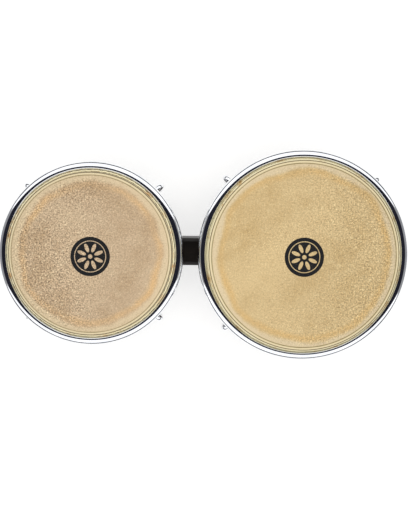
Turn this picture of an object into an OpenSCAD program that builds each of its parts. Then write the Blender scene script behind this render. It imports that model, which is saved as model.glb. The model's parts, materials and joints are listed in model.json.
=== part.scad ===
// Bongo drums: a small and a large hand drum joined by a wooden centre block.
// Millimetres, +Z up. The origin is on the floor, under the centre of the whole pair.
// The small drum (macho) is on the -X side and the large one (hembra) on the +X side.

/* [Drums] */
// Diameter of the small head, across the crest of its bearing edge
macho_head_d = 171.5; // [165:0.5:176]
// Diameter of the large head, across the crest of its bearing edge
hembra_head_d = 203.2; // [197:0.2:207]
// Distance between the two drums' axes
axis_distance = 231.7; // [228:0.1:240]
// Height of the bearing edges above the floor
edge_z = 165; // [158:1:175]
// Thickness of the wooden shell walls
shell_wall = 10; // [8:0.5:12]
// How much smaller a shell's outside radius is at the floor than at its head
shell_taper = 12.5; // [11:0.1:14]
// Radius that rounds the outside of the bearing edge
edge_r = 2.2; // [2:0.1:3]

/* [Skins] */
// Thickness of the rawhide
skin_t = 1.3; // [1:0.1:1.4]
// Radius of the flesh hoop's wire
hoop_r = 2.25; // [2:0.05:2.3]
// How far the flesh hoop's centre lies below the bearing edge
hoop_drop = 16; // [15:0.5:17]

/* [Rims] */
// Outside diameter of the small drum's rim
macho_rim_d = 201.6; // [201:0.1:204]
// Outside diameter of the large drum's rim
hembra_rim_d = 230.8; // [230:0.1:233]
// Thickness of the rim's steel
rim_t = 2.6; // [2:0.1:2.8]
// Height of the rim, from its crest to its lower edge
rim_h = 18; // [17:0.5:19]
// How far the rim's crest lies below the bearing edge
rim_drop = 4; // [3:0.5:5]
// Radius of the rolled outside edge
rim_roll_r = 6.8; // [6.5:0.1:7]

/* [Tuning hardware] */
// Angle of the first tension rod, from the +X axis
rod_angle = 45; // [40:1:50]
// Outside diameter of the rod's thread
thread_d = 8; // [7:0.5:8]
// Diameter of the plain part of the rod, and of its hook
shank_d = 7.2; // [6.4:0.1:7.4]
// Radius of the hook's bend, at the middle of the rod
hook_r = 6.6; // [6.4:0.1:6.8]
// Size of the nuts across their flats
nut_af = 13; // [12:0.5:13]
// Height of the nuts
nut_h = 6.5; // [6:0.1:7]

/* [Bottom rings] */
// Thickness of a bottom ring's wall
ring_t = 2; // [1.6:0.1:2.2]
// Height of a bottom ring
ring_h = 24; // [24:0.5:30]
// Height of the ears' undersides above the floor, at the rods
ear_z = 19; // [18.5:0.5:19.5]

/* [Centre block] */
// Width of the block, across the line between the drums
block_w = 32; // [30:1:40]
// Height of the block
block_h = 62; // [60:1:70]
// Height of the block's underside above the floor
block_z = 47; // [40:1:50]
// Distance between the two bolts in each end of the block
bolt_spacing = 32; // [28:1:36]

/* [Hidden] */
$fn = 96;
MACHO = 0;
HEMBRA = 1;
DRUMS = ["macho", "hembra"];
DRUM_PARTS = ["shell", "skin", "skin_collar", "skin_tuck", "flesh_hoop", "rim", "rim_ears",
              "rod_washers", "bottom_ring", "bottom_ring_ears", "backing_plate",
              "block_bolts", "block_bolt_washers", "block_inserts"];
LUGS = [1, 2, 3, 4];

fit = 0.05;                 // radial room of a thread in its nut or insert
slack = 0.2;                // room between neighbours that don't touch
cut = 1;                    // how far a cutting shape runs past what it cuts

// Places of the drums: the pair's outside width is centred on the origin
rim_r = [macho_rim_d / 2, hembra_rim_d / 2];
macho_x = (rim_r[MACHO] - rim_r[HEMBRA] - axis_distance) / 2;
drum_x = [macho_x, macho_x + axis_distance];

// Shells: straight cones, with the outside rounded over at the bearing edge
top_r = [macho_head_d / 2 + edge_r, hembra_head_d / 2 + edge_r];
shoulder_z = edge_z - edge_r;
edge_flat = 2;
edge_bevel = 5.5;
lean = atan(shell_taper / shoulder_z);
function shell_r(d, z) = top_r[d] - shell_taper * (shoulder_z - z) / shoulder_z;

// Skins: the disc, the collar that stretches, and the part rolled round the flesh hoop
hoop_z = edge_z - hoop_drop;
wrap_r = hoop_r + skin_t;
collar_z = hoop_z + 4;
tuck_end = 125;
function hoop_ring_r(d) = top_r[d] + wrap_r;

// Rims: a flat band rolled inwards over the tucked skin
rim_top = edge_z - rim_drop;
rim_lip = 9.3;
rim_lip_r = rim_lip - rim_roll_r;
rim_foot_z = rim_top - rim_h;

// Hooks: each holds a rim ear from outside, through a round hole
ear_t = 2.5;
ear_w = 22;
ear_hole_r = 4.6;
ear_set_in = 1.1;
hook_z = rim_foot_z - 13;
hook_turn = 150;
hook_foot = 2.15;
ear_tail = 7;
hook_set_in = ear_set_in + ear_t / 2;

// Bottom rings: a lip carries the shell, and ears above the nuts take the rods
lip_t = 2.5;
lip_w = 4.5;
ring_ear_t = 3;
washer_t = 1.6;
rod_washer_r = 7.5;
nut_r = nut_af / sqrt(3);
rod_tail = 4;
thread_up = 30;
function ring_r(d, z) = shell_r(d, z) + slack + ring_t;
function foot_r(d) = ring_r(d, ear_z) + nut_r + 4 * slack;

// A rod runs from its foot, at the ear's underside, to a tangent of its hook's bend.
// Its length is rounded to 0.01 mm, so that the shank and the bend meet exactly.
function hook_ring_r(d) = rim_r[d] - hook_set_in;
function hook_reach(d) = norm([hook_ring_r(d) - foot_r(d), hook_z - ear_z]);
function rod_lean(d) = atan2(hook_ring_r(d) - foot_r(d), hook_z - ear_z) + asin(hook_r / hook_reach(d));
function rod_len(d) = round(100 * sqrt(pow(hook_reach(d), 2) - pow(hook_r, 2))) / 100;
function lug_angle(lug) = rod_angle + 90 * (lug - 1);

// Block bolts: square to the shell's wall, screwed into inserts in the block's ends
bolt_r = 4;
bolt_hole_r = 4.5;
bolt_head_h = 5.3;
bolt_washer_r = 8;
insert_r = 6;
insert_len = 18;
plate_t = 4;
plate_w = 30;
plate_h = 56;
block_edge_r = 5;
block_mid_z = block_z + block_h / 2;
wall_across = shell_wall * cos(lean);

wood = "#2a1b14";
block_wood = "#1d1512";
rawhide = "#d9c39a";
chrome = "#d8dade";
steel = "#a9abae";
brass = "#b8963e";

// Puts a piece on the axis of drum d
module at_drum(d) {
    translate([drum_x[d], 0, 0]) children();
}

// Puts a piece at the foot of a rod, with +Z up along the rod
module at_rod(d, lug) {
    at_drum(d) rotate([0, 0, lug_angle(lug)]) translate([foot_r(d), 0, ear_z])
        rotate([0, rod_lean(d), 0]) children();
}

// Puts a piece on the inside of the wall, behind the block, with +X out along the bolts
module at_wall(d) {
    at_drum(d) rotate([0, 0, 180 * d]) translate([shell_r(d, block_mid_z) - shell_wall, 0, block_mid_z])
        rotate([0, lean, 0]) children();
}

module at_bolts(d) {
    for (side = [-1, 1]) at_wall(d) translate([0, 0, side * bolt_spacing / 2]) rotate([0, 90, 0]) children();
}

// A cone that follows the shell's wall at a distance from its outside
module wall_cone(d, outset, low, high) {
    translate([0, 0, low])
        cylinder(h = high - low, r1 = shell_r(d, low) + outset, r2 = shell_r(d, high) + outset);
}

module quarter(r) {
    intersection() {
        circle(r = r);
        square(r + cut);
    }
}

// A hexagon with its corners turned down at both ends, as on a nut or a bolt head
module hexagon(height, across_flats) {
    corner_r = across_flats / sqrt(3);
    drop = (corner_r - across_flats / 2) * tan(30) * 2;
    intersection() {
        cylinder(h = height, r = corner_r, $fn = 6);
        rotate_extrude() polygon([[0, 0], [across_flats / 2, 0], [corner_r + slack, drop],
                                  [corner_r + slack, height - drop], [across_flats / 2, height], [0, height]]);
    }
}

module shell(d) {
    inner = top_r[d] - edge_r;
    color(wood) difference() {
        at_drum(d) rotate_extrude() union() {
            polygon([[shell_r(d, lip_t), lip_t], [top_r[d], shoulder_z], [inner, shoulder_z], [inner, edge_z],
                     [inner - edge_flat, edge_z],
                     [shell_r(d, edge_z - edge_bevel) - shell_wall, edge_z - edge_bevel],
                     [shell_r(d, lip_t) - shell_wall, lip_t]]);
            translate([inner, shoulder_z]) quarter(edge_r);
        }
        at_bolts(d) translate([0, 0, -2 * cut]) cylinder(h = shell_wall + 4 * cut, r = bolt_hole_r);
    }
}

module skin(d) {
    inner = top_r[d] - edge_r;
    color(rawhide) at_drum(d) rotate_extrude() union() {
        translate([0, edge_z]) square([inner, skin_t]);
        translate([inner, shoulder_z]) difference() {
            quarter(edge_r + skin_t);
            circle(r = edge_r);
        }
    }
}

module skin_collar(d) {
    color(rawhide) at_drum(d) translate([0, 0, collar_z]) difference() {
        cylinder(h = shoulder_z - collar_z, r = top_r[d] + skin_t);
        translate([0, 0, -cut]) cylinder(h = shoulder_z - collar_z + 2 * cut, r = top_r[d]);
    }
}

module skin_tuck(d) {
    far = 2 * wrap_r;
    color(rawhide) at_drum(d) rotate_extrude() translate([hoop_ring_r(d), hoop_z]) union() {
        difference() {
            circle(r = wrap_r);
            circle(r = hoop_r);
            polygon([[0, 0], [-far, 0], [-far, far * sin(tuck_end)], [far * cos(tuck_end), far * sin(tuck_end)]]);
        }
        translate([-wrap_r, 0]) square([skin_t, collar_z - hoop_z]);
    }
}

module flesh_hoop(d) {
    color(steel) at_drum(d) rotate_extrude() translate([hoop_ring_r(d), hoop_z]) circle(r = hoop_r);
}

module rim(d) {
    out = rim_r[d];
    roll_x = out - rim_roll_r;
    roll_z = rim_top - rim_roll_r;
    leg_foot = hoop_z + wrap_r + fit;
    color(chrome) at_drum(d) rotate_extrude() union() {
        translate([out - rim_t, rim_foot_z]) square([rim_t, roll_z - rim_foot_z]);
        translate([roll_x, roll_z]) difference() {
            quarter(rim_roll_r);
            circle(r = rim_roll_r - rim_t);
        }
        translate([roll_x, rim_top - rim_lip_r]) mirror([1, 0]) quarter(rim_lip_r);
        translate([out - rim_lip, leg_foot]) square([rim_t, rim_top - rim_lip_r - leg_foot]);
    }
}

module rim_ears(d) {
    ear_h = rim_foot_z - hook_z + ear_tail;
    outside = rim_r[d] - ear_set_in;
    color(chrome) for (lug = LUGS) at_drum(d) rotate([0, 0, lug_angle(lug)]) difference() {
        intersection() {
            translate([0, 0, hook_z - ear_tail]) difference() {
                cylinder(h = ear_h, r = outside);
                translate([0, 0, -cut]) cylinder(h = ear_h + 2 * cut, r = outside - ear_t);
            }
            translate([0, 0, hook_z - ear_tail]) rotate([90, 0, 90]) linear_extrude(rim_r[d]) union() {
                translate([-ear_w / 2, ear_tail]) square([ear_w, ear_h - ear_tail]);
                translate([ear_tail - ear_w / 2, 0]) square([ear_w - 2 * ear_tail, ear_h]);
                for (side = [-1, 1]) translate([side * (ear_w / 2 - ear_tail), ear_tail]) circle(r = ear_tail);
            }
        }
        translate([0, 0, hook_z + hook_foot + ear_hole_r]) rotate([0, 90, 0])
            cylinder(h = rim_r[d] + cut, r = ear_hole_r);
    }
}

// A tension rod: a threaded foot, a plain shank and a hook bent inwards over the rim's ear
module rod(d, lug) {
    turn = hook_turn + rod_lean(d);
    tail = washer_t + nut_h + rod_tail;
    end_bevel = 0.8;
    color(chrome) at_rod(d, lug) union() {
        translate([0, 0, -tail]) cylinder(h = end_bevel, r1 = thread_d / 2 - end_bevel, r2 = thread_d / 2);
        translate([0, 0, end_bevel - tail]) cylinder(h = thread_up + tail - end_bevel, r = thread_d / 2);
        translate([0, 0, thread_up]) cylinder(h = rod_len(d) - thread_up, r = shank_d / 2);
        translate([-hook_r, 0, rod_len(d)]) rotate([90, 0, 0])
            rotate_extrude(angle = turn) translate([hook_r, 0]) circle(r = shank_d / 2);
    }
}

module nut(d, lug) {
    color(chrome) at_rod(d, lug) translate([0, 0, -washer_t - nut_h]) difference() {
        hexagon(nut_h, nut_af);
        translate([0, 0, -cut]) cylinder(h = nut_h + 2 * cut, r = thread_d / 2 + fit);
    }
}

module rod_washers(d) {
    color(steel) for (lug = LUGS) at_rod(d, lug) translate([0, 0, -washer_t]) difference() {
        cylinder(h = washer_t, r = rod_washer_r);
        translate([0, 0, -cut]) cylinder(h = washer_t + 2 * cut, r = thread_d / 2 + 2 * slack);
    }
}

module bottom_ring(d) {
    color(chrome) at_drum(d) union() {
        difference() {
            wall_cone(d, slack + ring_t, 0, ring_h);
            wall_cone(d, slack, -cut, ring_h + cut);
        }
        difference() {
            wall_cone(d, slack + ring_t / 2, 0, lip_t);
            translate([0, 0, -cut]) cylinder(h = lip_t + 2 * cut, r = shell_r(d, 0) - lip_w);
        }
    }
}

module bottom_ring_ears(d) {
    root = foot_r(d) - shell_r(d, 0);
    color(chrome) for (lug = LUGS) difference() {
        at_rod(d, lug) difference() {
            union() {
                cylinder(h = ring_ear_t, r = rod_washer_r + slack);
                translate([-root, -rod_washer_r - slack, 0])
                    cube([root, 2 * (rod_washer_r + slack), ring_ear_t]);
            }
            translate([0, 0, -cut]) cylinder(h = ring_ear_t + 2 * cut, r = ear_hole_r);
        }
        at_drum(d) wall_cone(d, slack + ring_t, 0, 2 * ring_h);
    }
}

// A saddle plate inside the shell: curved against the wood, flat under the washers
module backing_plate(d) {
    color(steel) difference() {
        intersection() {
            at_wall(d) translate([-plate_t, -plate_w / 2, -plate_h / 2]) cube([2 * plate_t, plate_w, plate_h]);
            at_drum(d) wall_cone(d, -shell_wall, lip_t, shoulder_z);
        }
        at_bolts(d) translate([0, 0, -plate_t - cut]) cylinder(h = 2 * plate_t, r = bolt_hole_r);
    }
}

module block_bolts(d) {
    under_head = plate_t + washer_t;
    color(steel) at_bolts(d) union() {
        translate([0, 0, -under_head - bolt_head_h]) hexagon(bolt_head_h, nut_af);
        translate([0, 0, -under_head]) cylinder(h = under_head + wall_across + insert_len - cut, r = bolt_r);
    }
}

module block_bolt_washers(d) {
    color(steel) at_bolts(d) translate([0, 0, -plate_t - washer_t]) difference() {
        cylinder(h = washer_t, r = bolt_washer_r);
        translate([0, 0, -cut]) cylinder(h = washer_t + 2 * cut, r = bolt_r + slack);
    }
}

module block_inserts(d) {
    color(brass) at_bolts(d) translate([0, 0, wall_across + slack]) difference() {
        cylinder(h = insert_len, r = insert_r);
        translate([0, 0, -cut]) cylinder(h = insert_len + 2 * cut, r = bolt_r + fit);
    }
}

// The block fills the space between the shells, and its ends are hollowed to fit their curves
module centre_block() {
    color(block_wood) difference() {
        translate([drum_x[MACHO], 0, block_z]) rotate([90, 0, 90]) linear_extrude(axis_distance) union() {
            translate([-block_w / 2, block_edge_r]) square([block_w, block_h - 2 * block_edge_r]);
            translate([block_edge_r - block_w / 2, 0]) square([block_w - 2 * block_edge_r, block_h]);
            for (side = [-1, 1], z = [block_edge_r, block_h - block_edge_r])
                translate([side * (block_w / 2 - block_edge_r), z]) circle(r = block_edge_r);
        }
        for (d = [MACHO, HEMBRA]) {
            at_drum(d) wall_cone(d, 0, 0, shoulder_z);
            at_bolts(d) cylinder(h = wall_across + slack + insert_len, r = insert_r);
        }
    }
}

centre_block();
for (d = [MACHO, HEMBRA]) {
    shell(d);
    skin(d);
    skin_collar(d);
    skin_tuck(d);
    flesh_hoop(d);
    rim(d);
    rim_ears(d);
    rod_washers(d);
    bottom_ring(d);
    bottom_ring_ears(d);
    backing_plate(d);
    block_bolts(d);
    block_bolt_washers(d);
    block_inserts(d);
    for (lug = LUGS) {
        rod(d, lug);
        nut(d, lug);
    }
}
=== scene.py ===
import json
import math
import random

import bpy
from mathutils import Matrix, Vector


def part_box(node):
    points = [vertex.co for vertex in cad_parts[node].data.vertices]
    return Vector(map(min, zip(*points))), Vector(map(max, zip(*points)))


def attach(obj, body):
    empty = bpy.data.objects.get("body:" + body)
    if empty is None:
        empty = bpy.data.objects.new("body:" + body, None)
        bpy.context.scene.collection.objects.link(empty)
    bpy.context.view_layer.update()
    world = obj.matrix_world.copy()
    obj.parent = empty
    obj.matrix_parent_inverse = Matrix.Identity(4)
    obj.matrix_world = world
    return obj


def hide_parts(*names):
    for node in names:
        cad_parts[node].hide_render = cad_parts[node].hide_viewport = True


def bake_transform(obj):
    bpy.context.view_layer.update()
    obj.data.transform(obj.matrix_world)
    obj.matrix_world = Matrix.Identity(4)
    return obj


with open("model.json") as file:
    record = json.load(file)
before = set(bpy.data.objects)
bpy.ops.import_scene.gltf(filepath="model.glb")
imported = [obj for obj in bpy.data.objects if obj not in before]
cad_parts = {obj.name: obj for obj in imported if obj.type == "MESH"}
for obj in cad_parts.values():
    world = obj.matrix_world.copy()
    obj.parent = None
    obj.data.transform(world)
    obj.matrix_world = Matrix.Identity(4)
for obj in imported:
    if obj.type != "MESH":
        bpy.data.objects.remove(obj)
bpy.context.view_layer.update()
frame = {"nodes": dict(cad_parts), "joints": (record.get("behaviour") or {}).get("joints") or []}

# Bongo drums, looked down on. Metres, +Z up, in the CAD frame.
MM = 0.001
DRUMS = ("macho", "hembra")
LUGS = (1, 2, 3, 4)
JOINTS = {joint["name"]: joint for joint in frame["joints"]}
random.seed(11)

# Sizes that the CAD model shares with these pieces: the shell and its bearing edge
EDGE_R = 2.2 * MM
EDGE_FLAT = 2 * MM
EDGE_BEVEL = 5.5 * MM
SHELL_WALL = 10 * MM
SHELL_TAPER = 12.5 * MM

# The rim: its steel, its rolled crest and how far in its lip lies
RIM_T = 2.6 * MM
RIM_ROLL_R = 6.8 * MM
RIM_LIP = 9.3 * MM

# The bottom ring: its steel, its clearance and the lip under the shell
RING_T = 2 * MM
RING_GAP = 0.2 * MM
RING_LIP_T = 2.5 * MM
RING_LIP_W = 4.5 * MM

# The rods: heights along them are from the underside of the ring's ear
THREAD_R = 4 * MM
THREAD_UP = 30 * MM
ROD_TAIL = 12.1 * MM
ROD_BEVEL = 0.8 * MM
SHANK_R = 3.6 * MM
HOOK_R = 6.6 * MM
HOOK_Z = 130 * MM
HOOK_SET_IN = 2.35 * MM
HOOK_TURN = math.radians(150)

# Sizes that only the visible pieces have
THREAD_PITCH = 1.25 * MM
THREAD_DEPTH = 0.62 * MM
THREAD_RUN_OUT = 2 * MM
HOOK_TIP = 1.1 * MM
RIM_SOFT = 0.7 * MM
RING_SOFT = 0.8 * MM
SHELL_SOFT = 0.8 * MM
DISC_R = 21.5 * MM
DISC_PETALS = 8
STAVES = 16

# How finely round things are divided
HEAD_SEGMENTS = 320
TUCK_SEGMENTS = 480
BAND_SEGMENTS = 320
SHELL_SEGMENTS = 256
ROD_SEGMENTS = 28


class Drum:
    """The places of one drum, read from the frame."""

    def __init__(self, name):
        self.name = name
        low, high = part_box(f"{name}_rim")
        self.x = (low.x + high.x) / 2
        self.rim_r = (high.x - low.x) / 2
        self.rim_foot, self.rim_top = low.z, high.z
        low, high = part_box(f"{name}_shell")
        self.top_r = (high.x - low.x) / 2
        self.shell_foot, self.edge_z = low.z, high.z
        self.shoulder_z = self.edge_z - EDGE_R
        self.head_r = self.top_r - EDGE_R
        low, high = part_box(f"{name}_skin")
        self.skin_top = high.z
        self.skin_t = high.z - self.edge_z
        low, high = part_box(f"{name}_flesh_hoop")
        self.hoop_z = (low.z + high.z) / 2
        self.hoop_r = (high.z - low.z) / 2
        self.wrap_r = self.hoop_r + self.skin_t
        self.hoop_ring_r = self.top_r + self.wrap_r
        self.collar_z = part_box(f"{name}_skin_collar")[0].z
        self.ring_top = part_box(f"{name}_bottom_ring")[1].z

    def shell_r(self, z):
        """The shell's outer radius at a height."""
        return self.top_r - SHELL_TAPER * (self.shoulder_z - z) / self.shoulder_z


# ---------------------------------------------------------------- mesh tools

def arc(x, z, radius, start, end, steps):
    """Points on an arc, by angles in degrees from +X."""
    points = []
    for i in range(steps + 1):
        angle = math.radians(start + (end - start) * i / steps)
        points.append((x + radius * math.cos(angle), z + radius * math.sin(angle)))
    return points


def line(start, end, steps):
    """Points along a straight line, without its last one."""
    across, up = end[0] - start[0], end[1] - start[1]
    return [(start[0] + across * i / steps, start[1] + up * i / steps) for i in range(steps)]


def add_mesh(name, vertices, faces, sharp_degrees):
    """A smooth piece in the scene, with hard edges where its faces meet at more than an angle."""
    mesh = bpy.data.meshes.new(name)
    mesh.from_pydata(vertices, [], faces)
    mesh.validate()
    mesh.shade_smooth()
    mesh.set_sharp_from_angle(angle=math.radians(sharp_degrees))
    piece = bpy.data.objects.new(name, mesh)
    bpy.context.scene.collection.objects.link(piece)
    return piece


def ring_faces(rings, segments, closed):
    """Quads between rings of vertices that follow each other, and back to the first one if closed."""
    faces = []
    last = rings if closed else rings - 1
    for ring in range(last):
        here, there = ring * segments, (ring + 1) % rings * segments
        for i in range(segments):
            after = (i + 1) % segments
            faces.append((here + i, here + after, there + after, there + i))
    return faces


def turned(outline, drum, segments):
    """A ring of vertices about a drum's axis for each (radius, height) point."""
    vertices = []
    for radius, z in outline:
        for i in range(segments):
            angle = 2 * math.pi * i / segments
            vertices.append((drum.x + radius * math.cos(angle), radius * math.sin(angle), z))
    return vertices


def lathe(name, outline, drum, segments, sharp_degrees=40):
    """Turns a closed outline of (radius, height) points, listed counter-clockwise, about a drum's axis."""
    vertices = turned(outline, drum, segments)
    return add_mesh(name, vertices, ring_faces(len(outline), segments, True), sharp_degrees)


# ------------------------------------------------------------- shader tools

def srgb(text):
    """A colour in the form that nodes take, from its six hex digits."""
    parts = [int(text[i:i + 2], 16) / 255 for i in (0, 2, 4)]
    linear = [c / 12.92 if c <= 0.04045 else ((c + 0.055) / 1.055) ** 2.4 for c in parts]
    return (*linear, 1.0)


class Shader:
    """Adds nodes to a material or world, and joins them up."""

    def __init__(self, owner):
        owner.use_nodes = True
        self.tree = owner.node_tree
        self.tree.nodes.clear()

    def put(self, socket, value):
        """Links a socket to another one, or sets it to a constant."""
        if isinstance(value, bpy.types.NodeSocket):
            self.tree.links.new(value, socket)
        else:
            socket.default_value = value

    def add(self, kind, inputs, **settings):
        """A new node, with its inputs by name or number, and its other settings."""
        node = self.tree.nodes.new("ShaderNode" + kind)
        for name, value in settings.items():
            setattr(node, name, value)
        for name, value in inputs.items():
            self.put(node.inputs[name], value)
        return node

    def math(self, operation, first, second=0.0, third=0.0):
        return self.add("Math", {0: first, 1: second, 2: third}, operation=operation).outputs[0]

    def times(self, first, second):
        return self.math("MULTIPLY", first, second)

    def scaled(self, value, gain, offset):
        """value * gain + offset."""
        return self.math("MULTIPLY_ADD", value, gain, offset)

    def vector(self, operation, first, second=(0, 0, 0)):
        return self.add("VectorMath", {0: first, 1: second}, operation=operation)

    def noise(self, place, scale, detail=3.0, roughness=0.55, stretch=None, distortion=0.0):
        """Fractal noise, whose features grow along an axis where its stretch is below 1."""
        if stretch:
            place = self.add("Mapping", {"Vector": place, "Scale": stretch}).outputs[0]
        inputs = {"Vector": place, "Scale": scale, "Detail": detail, "Roughness": roughness,
                  "Distortion": distortion}
        return self.add("TexNoise", inputs).outputs["Fac"]

    def step(self, value, low, high):
        """0 below low, 1 above high and a smooth rise between them; low above high turns it round."""
        flip = low > high
        inputs = {"Value": value, "From Min": min(low, high), "From Max": max(low, high),
                  "To Min": 1.0 if flip else 0.0, "To Max": 0.0 if flip else 1.0}
        return self.add("MapRange", inputs, interpolation_type="SMOOTHSTEP").outputs[0]

    def band(self, value, low, high, soft):
        """1 between low and high, with soft edges."""
        above = self.step(value, low - soft, low + soft)
        below = self.step(value, high + soft, high - soft)
        return self.times(above, below)

    def disc(self, distance, radius, soft):
        """1 within a radius, with a soft edge."""
        return self.step(distance, radius + soft, radius - soft)

    def mix(self, amount, first, second, blend="MIX"):
        """The first colour at 0, the second at 1."""
        node = self.add("Mix", {0: amount, 6: first, 7: second}, data_type="RGBA", blend_type=blend)
        return node.outputs[2]

    def tint(self, base, colour, mask, amount):
        """The base with an amount of a colour mixed in where the mask is 1."""
        return self.mix(self.times(mask, amount), base, colour)

    def grey(self, level):
        return self.add("CombineColor", {0: level, 1: level, 2: level}).outputs[0]

    def shaded(self, base, level):
        """The base made darker or lighter by a level."""
        return self.mix(1.0, base, self.grey(level), "MULTIPLY")

    def ramp(self, value, stops):
        """A colour for each value, by stops of position and colour."""
        node = self.add("ValToRGB", {0: value})
        elements = node.color_ramp.elements
        while len(elements) < len(stops):
            elements.new(0.5)
        for element, (position, colour) in zip(elements, stops):
            element.position = position
            element.color = colour
        return node.outputs[0]

    def place(self):
        """The point on the piece, in the CAD frame."""
        return self.add("TexCoord", {}).outputs["Object"]

    def bump(self, height, strength, distance, normal=None):
        inputs = {"Height": height, "Strength": strength, "Distance": distance}
        if normal is not None:
            inputs["Normal"] = normal
        return self.add("Bump", inputs).outputs[0]

    def finish(self, **inputs):
        """The material's surface, from the inputs of a Principled node."""
        named = {key.replace("_", " "): value for key, value in inputs.items()}
        surface = self.add("BsdfPrincipled", named)
        self.add("OutputMaterial", {"Surface": surface.outputs[0]})


def new_shader(name):
    material = bpy.data.materials.new(name)
    return material, Shader(material)


def dress(piece, material):
    """Gives a new piece its only material."""
    piece.data.materials.clear()
    piece.data.materials.append(material)


# ------------------------------------------------------------- the rawhide

# How each head looks. The colours come first; some stand for light and shade round the edge: painted shade
# where the hide starts to bend over the bearing edge, a painted highlight on its rounded shoulder, painted
# shade on the steep collar down in the rim, and the tucked hide's own pale tone painted lighter for the
# light on its ledge. Then crest is the strength of the painted shade line on the bearing edge, the outer
# side's painted shade is how much darker that side is, grain and ring are the strengths of the grain and of
# the tan ring, lines_in is how far in the edge's lines lie, and disc_at is the printed disc's place from
# the axis.
HIDES = {
    "macho": {
        "dark": srgb("a88f70"), "mid": srgb("b69f82"), "light": srgb("c0aa8b"), "pale": srgb("cbb898"),
        "tan": srgb("cfa975"), "edge": srgb("cfbc9a"), "painted_highlight": srgb("dccfaa"), "bend_shade": srgb("6d6138"),
        "seam_and_shade_line": srgb("4a4024"), "tuck": srgb("ece2c0"), "fleck": srgb("ddcba8"), "pore": srgb("8a6d4b"),
        "crest": 0.15, "painted_outer_shade": 0.045, "grain": 1.08, "ring": 0.65,
        "lines_in": 0.1 * MM, "disc_at": (0.1 * MM, -2.5 * MM),
    },
    "hembra": {
        "dark": srgb("b29768"), "mid": srgb("c0a87c"), "light": srgb("c9b184"), "pale": srgb("d2bd90"),
        "tan": srgb("c6a062"), "edge": srgb("cdbd9e"), "painted_highlight": srgb("dccfa8"), "bend_shade": srgb("77693b"),
        "seam_and_shade_line": srgb("4e4324"), "tuck": srgb("ece2bc"), "fleck": srgb("e2cf9f"), "pore": srgb("93764a"),
        "crest": 0.35, "painted_outer_shade": 0.07, "grain": 0.66, "ring": 0.45,
        "lines_in": 1.1 * MM, "disc_at": (0.4 * MM, -1.3 * MM),
    },
}
INK = srgb("17181a")


def radial(shader, drum, place):
    """The distance of a point from a drum's axis."""
    flat = shader.vector("MULTIPLY", place, (1, 1, 0)).outputs[0]
    return shader.vector("DISTANCE", flat, (drum.x, 0, 0)).outputs["Value"]


def outwards(shader, drum, place):
    """-1 at the edge of the head nearest the other drum, 0 in the middle and 1 at the far edge."""
    offset = shader.vector("SUBTRACT", place, (drum.x, 0, 0)).outputs[0]
    away = math.copysign(1, drum.x) / drum.head_r
    return shader.vector("DOT_PRODUCT", offset, (away, 0, 0)).outputs["Value"]


def disc_print(shader, drum, place, centre):
    """The mask of a plain printed disc, with a thin ring and a rosette of petals left bare in it."""
    soft = 0.12 * MM
    ragged_by = 0.3 * MM
    flat = shader.vector("MULTIPLY", place, (1, 1, 0)).outputs[0]
    offset = shader.vector("SUBTRACT", flat, (drum.x + centre[0], centre[1], 0)).outputs[0]
    away = shader.vector("LENGTH", offset).outputs["Value"]
    ragged = shader.scaled(shader.noise(place, scale=900, detail=2), ragged_by, away)
    disc = shader.disc(ragged, DISC_R, soft)
    ring = shader.band(ragged, 0.77 * DISC_R, 0.81 * DISC_R, soft)
    bare = shader.math("MAXIMUM", ring, rosette(shader, offset, away, soft))
    middle = shader.disc(away, 0.11 * DISC_R, soft)
    bare = shader.math("MAXIMUM", bare, middle)
    return shader.times(disc, shader.math("SUBTRACT", 1.0, bare))


def rosette(shader, offset, away, soft):
    """The mask of petals round the disc's centre: one petal, repeated in each sector."""
    petal_at = 0.46 * DISC_R
    petal_half = 0.095 * DISC_R
    slimness = 0.42
    sector = 2 * math.pi / DISC_PETALS
    parts = shader.add("SeparateXYZ", {0: offset})
    angle = shader.math("ARCTAN2", parts.outputs[1], parts.outputs[0])
    swing = shader.math("SUBTRACT", shader.math("FLOORED_MODULO", angle, sector), sector / 2)
    across = shader.times(shader.math("SINE", swing), away)
    along = shader.math("SUBTRACT", shader.times(shader.math("COSINE", swing), away), petal_at)
    along = shader.times(along, slimness)
    squares = shader.math("ADD", shader.times(across, across), shader.times(along, along))
    return shader.disc(shader.math("SQRT", squares), petal_half, soft)


def hide_margin(shader, base, look, inside, shifted, clouds):
    """The tan ring near the edge of a head and the paler margin outside it, both of them uneven."""
    sway = 7 * MM
    wander = shader.scaled(shader.noise(shifted, scale=24), 2 * sway, -sway)
    uneven = shader.math("ADD", inside, wander)
    ring = shader.band(uneven, 8 * MM, 14 * MM, 3.5 * MM)
    strength = shader.scaled(shader.step(clouds, 0.3, 0.65), look["ring"], 0.15)
    base = shader.tint(base, look["tan"], ring, strength)
    margin = shader.step(uneven, 9 * MM, 4 * MM)
    return shader.tint(base, look["edge"], margin, 0.75)


def hide_pores(shader, base, look, shifted, coarse):
    """Dark pores, stronger where the hide is coarse."""
    noise = shader.noise(shifted, scale=620, detail=2, roughness=0.6, stretch=(0.6, 1, 1))
    return shader.tint(base, look["pore"], shader.step(noise, 0.43, 0.3), shader.scaled(coarse, 0.3, 0.3))


def hide_grain(shader, base, look, grain, coarse, inside, outer):
    """Darkens and lightens the hide by its grain, calm near the edge, and paints shade on the outer side.
    """
    depth = shader.scaled(coarse, 2.7 * look["grain"], 0.9 * look["grain"])
    calm = shader.scaled(shader.step(inside, 1 * MM, 9 * MM), 0.75, 0.25)
    shade = shader.scaled(shader.math("SUBTRACT", grain, 0.5), shader.times(depth, calm), 1.02)
    # Painted shade: the side away from the other drum is darkened, as light falls off away from the pair's
    # middle.
    return shader.shaded(base, shader.scaled(outer, -look["painted_outer_shade"], shade))


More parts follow.
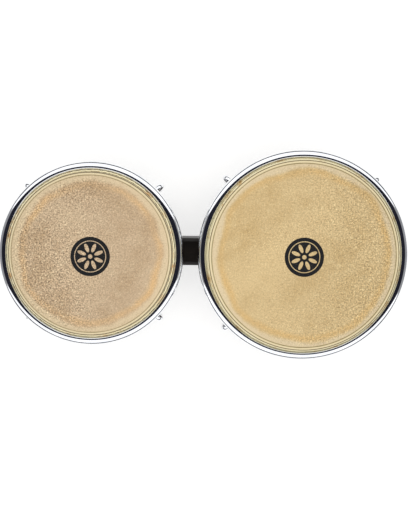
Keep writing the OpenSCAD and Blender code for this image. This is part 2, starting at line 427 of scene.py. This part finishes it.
def hide_painted_edge_lines(shader, base, look, inside, patches):
    """Painted shade and highlight round a head's edge, and the stained hide tucked in, painted lighter for
    the light on it.
    """
    depth = shader.math("SUBTRACT", inside, look["lines_in"])
    # Painted shade: a dark line where the hide starts to bend over the bearing edge, patchy along it.
    crest = shader.band(depth, -0.1 * MM, 0.85 * MM, 0.3 * MM)
    base = shader.tint(base, look["bend_shade"], crest, shader.scaled(patches, 0.9, look["crest"]))
    # Painted highlight along the hide's rounded shoulder over the bearing edge.
    highlight_band = shader.band(depth, -1.9 * MM, -0.5 * MM, 0.35 * MM)
    base = shader.tint(base, look["painted_highlight"], highlight_band, 0.75)
    # Painted shade: a dark line on the steep collar, down between the rim's lip and the hide.
    seam_and_shade_line = shader.band(depth, -3.05 * MM, -2.25 * MM, 0.3 * MM)
    base = shader.tint(base, look["seam_and_shade_line"], seam_and_shade_line, 0.95)
    # The tucked hide's own paler tone with tan stains, painted lighter still for the light on its ledge in
    # the rim.
    tuck = shader.step(depth, -3.1 * MM, -3.4 * MM)
    stained_and_lit_tuck = shader.mix(shader.step(patches, 0.3, 0.5), look["tan"], look["tuck"])
    return shader.mix(tuck, base, stained_and_lit_tuck)


def rawhide(name, drum):
    """Scraped hide: cloudy tan with pale flecks, rougher away from the other drum and darkened there by
    painted shade.
    """
    look = HIDES[drum.name]
    material, shader = new_shader(name)
    place = shader.place()
    # Each head takes its noise from a place of its own, so that the two differ.
    noise_from = (drum.x * 7, 0.3, 0)
    shifted = shader.add("Mapping", {"Vector": place, "Location": noise_from}).outputs[0]
    clouds = shader.noise(shifted, scale=14, detail=5, roughness=0.6, distortion=0.5)
    patches = shader.noise(shifted, scale=70, detail=4, roughness=0.65)
    grain = shader.noise(shifted, scale=620, detail=2, roughness=0.7)
    inside = shader.math("SUBTRACT", drum.head_r, radial(shader, drum, place))
    outer = outwards(shader, drum, place)
    drift = shader.noise(shifted, scale=11, detail=2, roughness=0.5, distortion=0.3)
    coarse = shader.step(shader.scaled(drift, 2.4, outer), 0.3, 2.3)

    base = shader.ramp(clouds, [(0.3, look["dark"]), (0.5, look["mid"]), (0.7, look["light"])])
    base = shader.tint(base, look["pale"], shader.step(patches, 0.5, 0.75), 0.24)
    base = shader.tint(base, look["dark"], shader.step(patches, 0.48, 0.28), 0.2)
    base = hide_margin(shader, base, look, inside, shifted, clouds)
    flecks = shader.noise(shifted, scale=560, detail=2, roughness=0.6, stretch=(1, 0.55, 1))
    flecks = shader.step(flecks, 0.56, 0.7)
    base = shader.tint(base, look["fleck"], flecks, shader.scaled(coarse, 0.4, 0.25))
    base = hide_pores(shader, base, look, shifted, coarse)
    base = hide_grain(shader, base, look, grain, coarse, inside, outer)
    base = hide_painted_edge_lines(shader, base, look, inside, patches)

    worn = shader.step(shader.noise(shifted, scale=1300, detail=3, roughness=0.7), 0.3, 0.36)
    printed = disc_print(shader, drum, place, look["disc_at"])
    base = shader.tint(base, INK, printed, shader.scaled(worn, 0.35, 0.65))
    height = shader.math("ADD", shader.times(grain, 0.6), shader.times(flecks, 0.5))
    normal = shader.bump(height, 0.35, 0.15 * MM)
    normal = shader.bump(patches, 0.25, 0.5 * MM, normal)
    rough = shader.scaled(grain, 0.25, 0.42)
    shader.finish(Base_Color=base, Roughness=rough, Normal=normal, Specular_IOR_Level=0.25)
    return material


# ------------------------------------------------------ the other materials

def chrome():
    """Plated steel: near a mirror, with faint polishing marks and a little haze."""
    material, shader = new_shader("chrome")
    place = shader.place()
    haze = shader.noise(place, scale=60, detail=4, roughness=0.6)
    marks = shader.noise(place, scale=900, detail=3, roughness=0.6, stretch=(1, 1, 0.12))
    colour = shader.ramp(haze, [(0.3, srgb("e3e6ea")), (0.7, srgb("f4f5f6"))])
    rough = shader.scaled(shader.step(haze, 0.35, 0.75), 0.05, 0.035)
    rough = shader.scaled(marks, 0.03, rough)
    normal = shader.bump(marks, 0.04, 0.05 * MM)
    shader.finish(Base_Color=colour, Metallic=1.0, Roughness=rough, Normal=normal)
    return material


def zinc_steel():
    """Zinc-plated hardware: a duller grey with a spangled finish."""
    material, shader = new_shader("zinc_steel")
    place = shader.place()
    spangle = shader.noise(place, scale=420, detail=3, roughness=0.65)
    scuffs = shader.noise(place, scale=1400, detail=3, roughness=0.6, stretch=(1, 0.2, 1))
    colour = shader.ramp(spangle, [(0.3, srgb("8f9194")), (0.55, srgb("b4b6b9")), (0.75, srgb("c9c6bd"))])
    rough = shader.scaled(spangle, 0.25, 0.2)
    normal = shader.bump(scuffs, 0.12, 0.05 * MM)
    shader.finish(Base_Color=colour, Metallic=1.0, Roughness=rough, Normal=normal)
    return material


def brass():
    """Brass with a cloudy tarnish."""
    material, shader = new_shader("brass")
    tarnish = shader.noise(shader.place(), scale=260, detail=4, roughness=0.6)
    colour = shader.ramp(tarnish, [(0.3, srgb("8a6a2c")), (0.7, srgb("c9a651"))])
    rough = shader.scaled(tarnish, 0.3, 0.2)
    normal = shader.bump(tarnish, 0.1, 0.05 * MM)
    shader.finish(Base_Color=colour, Metallic=1.0, Roughness=rough, Normal=normal)
    return material


def shell_wood(name, drum):
    """Stained staves, each a little different, under a satin lacquer."""
    material, shader = new_shader(name)
    place = shader.place()
    centred = shader.vector("SUBTRACT", place, (drum.x, 0, 0)).outputs[0]
    parts = shader.add("SeparateXYZ", {0: centred})
    angle = shader.math("ARCTAN2", parts.outputs[1], parts.outputs[0])
    turn = shader.scaled(angle, STAVES / (2 * math.pi), STAVES / 2 + 0.5)
    number = shader.math("FLOOR", turn)
    tone = shader.add("TexWhiteNoise", {"W": number}, noise_dimensions="1D").outputs["Value"]
    seam_and_shade_line = shader.step(shader.math("PINGPONG", turn, 0.5), 0.014, 0.004)

    # The wood's figure runs up each stave, and starts somewhere else in the next one.
    wide = shader.scaled(angle, 0.1, shader.times(number, 3.7))
    unrolled = shader.add("CombineXYZ", {0: wide, 1: radial(shader, drum, place), 2: parts.outputs[2]})
    unrolled = unrolled.outputs[0]
    figure = shader.noise(unrolled, scale=160, detail=5, roughness=0.65, stretch=(1, 1, 0.06),
                          distortion=0.6)
    pores = shader.noise(unrolled, scale=1500, detail=3, roughness=0.6, stretch=(1, 1, 0.035))
    colour = shader.ramp(figure, [(0.3, srgb("1c100b")), (0.5, srgb("35201a")), (0.72, srgb("54342a"))])
    colour = shader.shaded(colour, shader.scaled(tone, 0.5, 0.7))
    colour = shader.tint(colour, srgb("0c0705"), shader.step(pores, 0.42, 0.3), 0.7)
    colour = shader.mix(seam_and_shade_line, colour, srgb("0a0504"))
    height = shader.math("SUBTRACT", shader.times(pores, 0.4), seam_and_shade_line)
    normal = shader.bump(height, 0.25, 0.15 * MM)
    rough = shader.scaled(figure, 0.2, 0.28)
    shader.finish(Base_Color=colour, Roughness=rough, Normal=normal, Coat_Weight=0.25, Coat_Roughness=0.18)
    return material


def block_wood():
    """Nearly black wood, with its figure along the block."""
    material, shader = new_shader("block_wood")
    place = shader.place()
    figure = shader.noise(place, scale=130, detail=5, roughness=0.65, stretch=(0.08, 1, 1),
                          distortion=0.8)
    pores = shader.noise(place, scale=1300, detail=3, roughness=0.6, stretch=(0.05, 1, 1))
    colour = shader.ramp(figure, [(0.3, srgb("0d0907")), (0.55, srgb("17100d")), (0.75, srgb("2a1d17"))])
    colour = shader.tint(colour, srgb("060403"), shader.step(pores, 0.42, 0.3), 0.6)
    rough = shader.scaled(figure, 0.25, 0.3)
    normal = shader.bump(pores, 0.2, 0.12 * MM)
    shader.finish(Base_Color=colour, Roughness=rough, Normal=normal, Specular_IOR_Level=0.3)
    return material


def floor_paint():
    """Pale paint that glows a little, so that the floor comes out nearly as white as the surround."""
    material, shader = new_shader("floor_paint")
    place = shader.place()
    cloud = shader.noise(place, scale=1.5, detail=4, roughness=0.5)
    fine = shader.noise(place, scale=400, detail=2, roughness=0.5)
    colour = shader.ramp(cloud, [(0.3, srgb("c6c6c5")), (0.7, srgb("c9c9c9"))])
    rough = shader.scaled(fine, 0.1, 0.6)
    normal = shader.bump(fine, 0.05, 0.1 * MM)
    shader.finish(Base_Color=colour, Roughness=rough, Normal=normal, Specular_IOR_Level=0.0,
                  Emission_Color=(1, 1, 1, 1), Emission_Strength=0.56)
    return material


# ------------------------------------------------------------------- pieces

def make_head(drum, material):
    """The playing skin: a disc that bends over the bearing edge and runs down the collar."""
    disc_rings = 40
    outer_r = drum.top_r + drum.skin_t
    below_bend = drum.shoulder_z - 1 * MM
    radii = [drum.head_r * i / disc_rings for i in range(1, disc_rings)]
    outline = [(radius, drum.skin_top) for radius in radii]
    outline += arc(drum.head_r, drum.shoulder_z, EDGE_R + drum.skin_t, 90, 0, steps=12)
    outline += line((outer_r, below_bend), (outer_r, drum.collar_z), steps=8)
    outline += [(outer_r, drum.collar_z)]
    outline += line((drum.top_r, drum.collar_z), (drum.top_r, below_bend), steps=8)
    outline += arc(drum.head_r, drum.shoulder_z, EDGE_R, 0, 90, steps=12)
    outline += [(radius, drum.edge_z) for radius in radii[::-1]]
    outline.reverse()
    vertices = turned(outline, drum, HEAD_SEGMENTS)
    faces = ring_faces(len(outline), HEAD_SEGMENTS, False)
    for ring, z, turn in ((0, drum.edge_z, 1), (len(outline) - 1, drum.skin_top, -1)):
        middle = len(vertices)
        vertices.append((drum.x, 0, z))
        start = ring * HEAD_SEGMENTS
        for i in range(HEAD_SEGMENTS):
            corners = (start + (i + 1) % HEAD_SEGMENTS, start + i, middle)
            faces.append(corners[::turn])
    head = add_mesh(f"{drum.name}_head", vertices, faces, 60)
    dress(head, material)
    return head


def make_tuck(drum, material):
    """The skin's edge: rolled under and round the hoop, then trimmed short in pleats in the rim's lip."""
    least_room = 0.12 * MM
    clearance = 0.05 * MM
    below_rim_top = 0.8 * MM
    into_wrap = 0.4 * MM
    loose_over = 3 * MM
    outer_r = drum.top_r + drum.skin_t
    lip_r = drum.rim_r - RIM_LIP
    middle = (outer_r + lip_r) / 2
    half = min(0.65 * drum.skin_t, (lip_r - outer_r) / 2 - least_room)
    room = (lip_r - outer_r) / 2 - half - clearance
    flap_foot = drum.hoop_z + drum.wrap_r - into_wrap
    flap_top = drum.rim_top - below_rim_top
    leave = math.degrees(math.acos((middle + half - drum.hoop_ring_r) / drum.wrap_r))
    hoop = (drum.hoop_ring_r, drum.hoop_z)
    outline = line((outer_r, drum.collar_z), (outer_r, drum.hoop_z), steps=4)
    outline += arc(*hoop, drum.hoop_r, 180, 470, steps=28)
    outline += line((middle - half, flap_foot), (middle - half, flap_top - 0.8 * half), steps=4)
    outline += arc(middle, flap_top - half, half, 170, 10, steps=6)
    outline += line((middle + half, flap_top - 0.8 * half), (middle + half, flap_foot + 0.5 * MM), steps=4)
    outline += arc(*hoop, drum.wrap_r, leave, -180, steps=28)
    outline += [(drum.top_r, drum.hoop_z + 2 * MM), (drum.top_r, drum.collar_z)]
    outline.reverse()
    pleats = pleat_table(TUCK_SEGMENTS, room)
    vertices = []
    for radius, z in outline:
        in_flap = abs(radius - middle) < half + 0.01 * MM
        loose = max(0.0, min(1.0, (z - flap_foot) / loose_over)) if in_flap else 0.0
        for i, (sideways, height) in enumerate(pleats):
            angle = 2 * math.pi * i / TUCK_SEGMENTS
            r = radius + loose * sideways
            vertices.append((drum.x + r * math.cos(angle), r * math.sin(angle), z + loose * height))
    faces = ring_faces(len(outline), TUCK_SEGMENTS, True)
    tuck = add_mesh(f"{drum.name}_tuck", vertices, faces, 60)
    dress(tuck, material)
    return tuck


def pleat_table(segments, room):
    """For each step round the flap: how far it leans out, and how much higher or lower it was trimmed."""
    trim_jitter = 0.12
    waves = [(random.randint(70, 95), 0.45, 0.1 * MM), (random.randint(38, 52), 0.35, 0.25 * MM),
             (random.randint(9, 15), 0.2, 0.3 * MM), (random.randint(3, 5), 0.0, 0.25 * MM)]
    phases = [random.uniform(0, 2 * math.pi) for _ in waves]
    table = []
    for i in range(segments):
        angle = 2 * math.pi * i / segments
        sideways = 0.0
        height = 0.0
        for (count, lean, trim), phase in zip(waves, phases):
            sideways += lean * room * math.sin(count * angle + phase)
            height += trim * math.sin(count * angle + 1.7 * phase)
        table.append((sideways, height + random.uniform(-trim_jitter, trim_jitter) * MM))
    return table


def make_rim(drum, material):
    """A steel band rolled inwards at the top, with its edges rounded."""
    out = drum.rim_r
    roll_x = out - RIM_ROLL_R
    roll_z = drum.rim_top - RIM_ROLL_R
    lip_r = RIM_LIP - RIM_ROLL_R
    leg_foot = drum.hoop_z + drum.wrap_r + 0.05 * MM
    leg_out = out - RIM_LIP + RIM_T
    inner_r = RIM_ROLL_R - RIM_T
    meet = math.degrees(math.acos((leg_out - roll_x) / inner_r))
    outline = arc(out - RIM_SOFT, drum.rim_foot + RIM_SOFT, RIM_SOFT, -90, 0, steps=4)
    outline += arc(roll_x, roll_z, RIM_ROLL_R, 0, 90, steps=32)
    outline += arc(roll_x, drum.rim_top - lip_r, lip_r, 90, 180, steps=14)[1:]
    outline += arc(out - RIM_LIP + RIM_SOFT, leg_foot + RIM_SOFT, RIM_SOFT, 180, 270, steps=4)
    outline += arc(leg_out - RIM_SOFT, leg_foot + RIM_SOFT, RIM_SOFT, 270, 360, steps=4)
    outline += arc(roll_x, roll_z, inner_r, meet, 0, steps=12)
    outline += arc(out - RIM_T + RIM_SOFT, drum.rim_foot + RIM_SOFT, RIM_SOFT, 180, 270, steps=4)[:-1]
    rim = lathe(f"{drum.name}_rim_band", outline, drum, BAND_SEGMENTS)
    dress(rim, material)
    return rim


def make_bottom_ring(drum, material):
    """The chromed ring under a shell: a wall that follows the wood, and a lip that carries it."""
    fine = 0.4 * MM
    outset = RING_GAP + RING_T
    inner = drum.shell_r(0) - RING_LIP_W
    foot = drum.shell_r(0) + outset
    top = drum.shell_r(drum.ring_top)
    outline = arc(foot - RING_SOFT, RING_SOFT, RING_SOFT, -90, 0, steps=5)
    outline += arc(top + outset - RING_SOFT, drum.ring_top - RING_SOFT, RING_SOFT, 0, 90, steps=5)
    outline += arc(top + RING_GAP + fine, drum.ring_top - fine, fine, 90, 180, steps=3)
    outline += [(drum.shell_r(RING_LIP_T) + RING_GAP, RING_LIP_T)]
    outline += arc(inner + RING_SOFT, RING_LIP_T - RING_SOFT, RING_SOFT, 90, 180, steps=4)
    outline += arc(inner + RING_SOFT, RING_SOFT, RING_SOFT, 180, 270, steps=4)
    ring = lathe(f"{drum.name}_bottom_band", outline, drum, BAND_SEGMENTS)
    dress(ring, material)
    return ring


def make_shell(drum, material):
    """The wooden shell: a straight cone, rounded over and bevelled at the bearing edge."""
    foot = drum.shell_foot
    foot_r = drum.shell_r(foot)
    inner = foot_r - SHELL_WALL
    throat_z = drum.edge_z - EDGE_BEVEL
    above_foot = foot + 2 * SHELL_SOFT
    outline = [(inner + SHELL_SOFT, foot), (foot_r - SHELL_SOFT, foot), (foot_r, foot + SHELL_SOFT)]
    outline += line((foot_r, above_foot), (drum.top_r, drum.shoulder_z), steps=12)
    outline += arc(drum.head_r, drum.shoulder_z, EDGE_R, 0, 90, steps=10)
    outline += [(drum.head_r - EDGE_FLAT, drum.edge_z)]
    outline += line((drum.shell_r(throat_z) - SHELL_WALL, throat_z), (inner, above_foot), steps=12)
    outline += [(inner, foot + SHELL_SOFT)]
    shell = lathe(f"{drum.name}_stave_shell", outline, drum, SHELL_SEGMENTS, 25)
    dress(shell, material)
    return shell


def rod_radius(z, angle):
    """The rod's radius at a height and an angle: a rolled thread below, the plain shank above."""
    run_out = max(0.0, min(1.0, (THREAD_UP - z) / THREAD_RUN_OUT))
    crest = SHANK_R + (THREAD_R - SHANK_R) * run_out
    turn = z / THREAD_PITCH - angle / (2 * math.pi)
    groove = 0.5 - 0.5 * math.cos(2 * math.pi * turn)
    return crest - THREAD_DEPTH * groove ** 0.8 * run_out


def rod_rings(length, turn, angles):
    """A rod's rings in its own frame, from the foot up: each one's centre, sideways direction and radii."""
    sideways = Vector((1, 0, 0))
    rings = []
    for rise in (0, ROD_BEVEL / 2):
        radius = THREAD_R - ROD_BEVEL + rise
        rings.append((Vector((0, 0, rise - ROD_TAIL)), sideways, [radius] * len(angles)))
    per_pitch = 8
    thread_foot = ROD_BEVEL - ROD_TAIL
    steps = int((THREAD_UP + ROD_TAIL) / (THREAD_PITCH / per_pitch))
    for i in range(steps + 1):
        z = thread_foot + (THREAD_UP - thread_foot) * i / steps
        rings.append((Vector((0, 0, z)), sideways, [rod_radius(z, angle) for angle in angles]))
    shank_steps = 6
    for i in range(1, shank_steps):
        z = THREAD_UP + (length - THREAD_UP) * i / shank_steps
        rings.append((Vector((0, 0, z)), sideways, [SHANK_R] * len(angles)))
    bends = 40
    tip_turn = HOOK_TIP / HOOK_R
    for i in range(bends + 1):
        bend = turn * i / bends
        into_tip = max(0.0, 1 - (turn - bend) / tip_turn)
        radius = SHANK_R - HOOK_TIP * (1 - math.sqrt(max(0.0, 1 - into_tip ** 2)))
        side = Vector((math.cos(bend), 0, math.sin(bend)))
        centre = Vector((-HOOK_R, 0, length)) + side * HOOK_R
        rings.append((centre, side, [radius] * len(angles)))
    return rings


def make_rod(drum, lug, material):
    """A tension rod: threaded foot, shank, and a hook bent inwards with a rounded tip."""
    nut_joint = JOINTS[f"{drum.name}_nut_{lug}_turn"]
    foot = Vector(nut_joint["pos_m"])
    up = Vector(nut_joint["axis"]).normalized()
    outward = Vector((foot.x - drum.x, foot.y, 0)).normalized()
    aside = Vector((-outward.y, outward.x, 0))
    across = aside.cross(up)
    hook_centre = Vector((drum.x, 0, HOOK_Z)) + outward * (drum.rim_r - HOOK_SET_IN)
    length = math.sqrt((hook_centre - foot).length_squared - HOOK_R ** 2)
    turn = HOOK_TURN + up.angle(Vector((0, 0, 1)))
    angles = [2 * math.pi * i / ROD_SEGMENTS for i in range(ROD_SEGMENTS)]
    rings = rod_rings(length, turn, angles)
    vertices = []
    for centre, side, radii in rings:
        for angle, radius in zip(angles, radii):
            local = centre + radius * (math.cos(angle) * side + math.sin(angle) * Vector((0, 1, 0)))
            vertices.append(foot + across * local.x + aside * local.y + up * local.z)
    faces = ring_faces(len(rings), ROD_SEGMENTS, False)
    faces.append(tuple(range(ROD_SEGMENTS))[::-1])
    faces.append(tuple(range((len(rings) - 1) * ROD_SEGMENTS, len(rings) * ROD_SEGMENTS)))
    rod = add_mesh(f"{drum.name}_hook_rod_{lug}", vertices, faces, 50)
    dress(rod, material)
    return rod


def soften(node, width):
    """Rounds the edges of a CAD piece as it is drawn, and leaves its mesh alone."""
    piece = frame["nodes"][node]
    weld = piece.modifiers.new("weld", "WELD")
    weld.merge_threshold = 0.002 * MM
    bevel = piece.modifiers.new("bevel", "BEVEL")
    bevel.width = width
    bevel.segments = 3
    bevel.limit_method = "ANGLE"
    bevel.angle_limit = math.radians(35)
    bevel.harden_normals = True
    return piece


def paint(node, material, width):
    """Gives a CAD piece a material and soft edges of a width."""
    piece = soften(node, width)
    if piece.data.materials:
        piece.data.materials[0] = material
    else:
        piece.data.materials.append(material)


# The CAD pieces of a drum that stay in sight: node, finish and how far its edges are rounded
HARDWARE = (
    ("rim_ears", "chrome", 0.5 * MM),
    ("bottom_ring_ears", "chrome", 0.5 * MM),
    ("rod_washers", "steel", 0.25 * MM),
    ("flesh_hoop", "steel", 0.1 * MM),
    ("backing_plate", "steel", 0.4 * MM),
    ("block_bolts", "steel", 0.25 * MM),
    ("block_bolt_washers", "steel", 0.25 * MM),
    ("block_inserts", "brass", 0.2 * MM),
)


def make_drum(drum, finishes, hide, wood):
    """All the pieces of one drum; the new tuck, rim, ring, shell and rods each ride on a body."""
    name = drum.name
    rim_body = f"{name}_rim_assembly"
    tuck = make_tuck(drum, hide)
    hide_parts(f"{name}_skin_tuck")
    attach(tuck, rim_body)
    head = make_head(drum, hide)
    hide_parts(f"{name}_skin", f"{name}_skin_collar")
    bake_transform(head)

    rim = make_rim(drum, finishes["chrome"])
    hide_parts(f"{name}_rim")
    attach(rim, rim_body)
    ring = make_bottom_ring(drum, finishes["chrome"])
    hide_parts(f"{name}_bottom_ring")
    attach(ring, "drums")
    shell = make_shell(drum, wood)
    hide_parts(f"{name}_shell")
    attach(shell, "drums")
    for lug in LUGS:
        rod = make_rod(drum, lug, finishes["chrome"])
        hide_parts(f"{name}_rod_{lug}")
        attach(rod, f"{name}_rod_{lug}")
        paint(f"{name}_nut_{lug}", finishes["chrome"], 0.25 * MM)
    for part, finish, width in HARDWARE:
        paint(f"{name}_{part}", finishes[finish], width)


# ------------------------------------------------------------------- studio

def make_floor():
    """A floor under the drums, which ends outside the camera's view."""
    bpy.ops.mesh.primitive_grid_add(x_subdivisions=8, y_subdivisions=8, size=1)
    floor = bpy.context.object
    floor.name = "studio_floor"
    floor.scale = (0.94, 1.24, 1)
    floor.data.materials.append(floor_paint())


def make_world():
    """A plain white surround for the camera and for soft light, and softboxes for the plating to mirror."""
    soft_light = (0.75, 0.75, 0.75, 1)
    white = (1, 1, 1, 1)
    box_level = 1.25
    wall_level = 0.3
    dark_level = 0.015
    world = bpy.data.worlds.new("studio")
    bpy.context.scene.world = world
    shader = Shader(world)
    direction = shader.add("TexCoord", {}).outputs["Generated"]
    parts = shader.add("SeparateXYZ", {0: direction})
    along = shader.math("ABSOLUTE", parts.outputs[1])
    height = parts.outputs[2]
    # The softboxes are in front and behind, above the horizon. A dim wall is at either end, low down, and
    # the strip overhead between the softboxes is dark.
    boxes = shader.times(shader.step(along, 0.35, 0.39), shader.step(height, 0.06, 0.12))
    walls = shader.times(shader.step(along, 0.6, 0.4), shader.step(height, 0.56, 0.34))
    level = shader.scaled(boxes, box_level, shader.scaled(walls, wall_level, dark_level))
    bluer = shader.scaled(level, 1.02, 0.008)
    mirrored = shader.add("CombineColor", {0: level, 1: level, 2: bluer}).outputs[0]
    rays = shader.add("LightPath", {})
    colour = shader.mix(rays.outputs["Is Glossy Ray"], soft_light, mirrored)
    colour = shader.mix(rays.outputs["Is Camera Ray"], colour, white)
    background = shader.add("Background", {"Color": colour, "Strength": 1.0})
    shader.add("OutputWorld", {"Surface": background.outputs[0]})


def make_lamp():
    """One large, slightly warm lamp above the drums, which the plating doesn't mirror."""
    lamp = bpy.data.lights.new("overhead", "AREA")
    lamp.shape = "RECTANGLE"
    lamp.size = 0.5
    lamp.size_y = 0.7
    lamp.energy = 5
    lamp.color = (1.0, 0.985, 0.96)
    light = bpy.data.objects.new("overhead", lamp)
    light.location = (0.02, 0.05, 1.15)
    light.visible_glossy = False
    bpy.context.scene.collection.objects.link(light)


def make_camera(drum):
    """Looks down on the heads from a little behind their centre line, as in the photograph."""
    rise = 0.87
    roll = math.radians(0.54)
    rim_z = drum.rim_top - RIM_ROLL_R
    place = Vector((-0.007, 0.058, rim_z + rise))
    target = Vector((0.0002, -0.0006, rim_z))
    forward = (target - place).normalized()
    up_hint = Vector((-math.sin(roll), math.cos(roll), 0))
    right = forward.cross(up_hint).normalized()
    up = right.cross(forward)
    camera_data = bpy.data.cameras.new("camera")
    camera_data.sensor_width = 36
    camera_data.lens = 56.05
    camera = bpy.data.objects.new("camera", camera_data)
    camera.matrix_world = Matrix.Translation(place) @ Matrix((right, up, -forward)).transposed().to_4x4()
    bpy.context.scene.collection.objects.link(camera)
    bpy.context.scene.camera = camera


drums = [Drum(name) for name in DRUMS]
make_camera(drums[0])
finishes = {"chrome": chrome(), "steel": zinc_steel(), "brass": brass()}
for drum in drums:
    hide = rawhide(f"{drum.name}_rawhide", drum)
    wood = shell_wood(f"{drum.name}_wood", drum)
    make_drum(drum, finishes, hide, wood)
paint("centre_block", block_wood(), 0.6 * MM)
make_floor()
make_world()
make_lamp()
bpy.context.scene.view_settings.view_transform = "Standard"
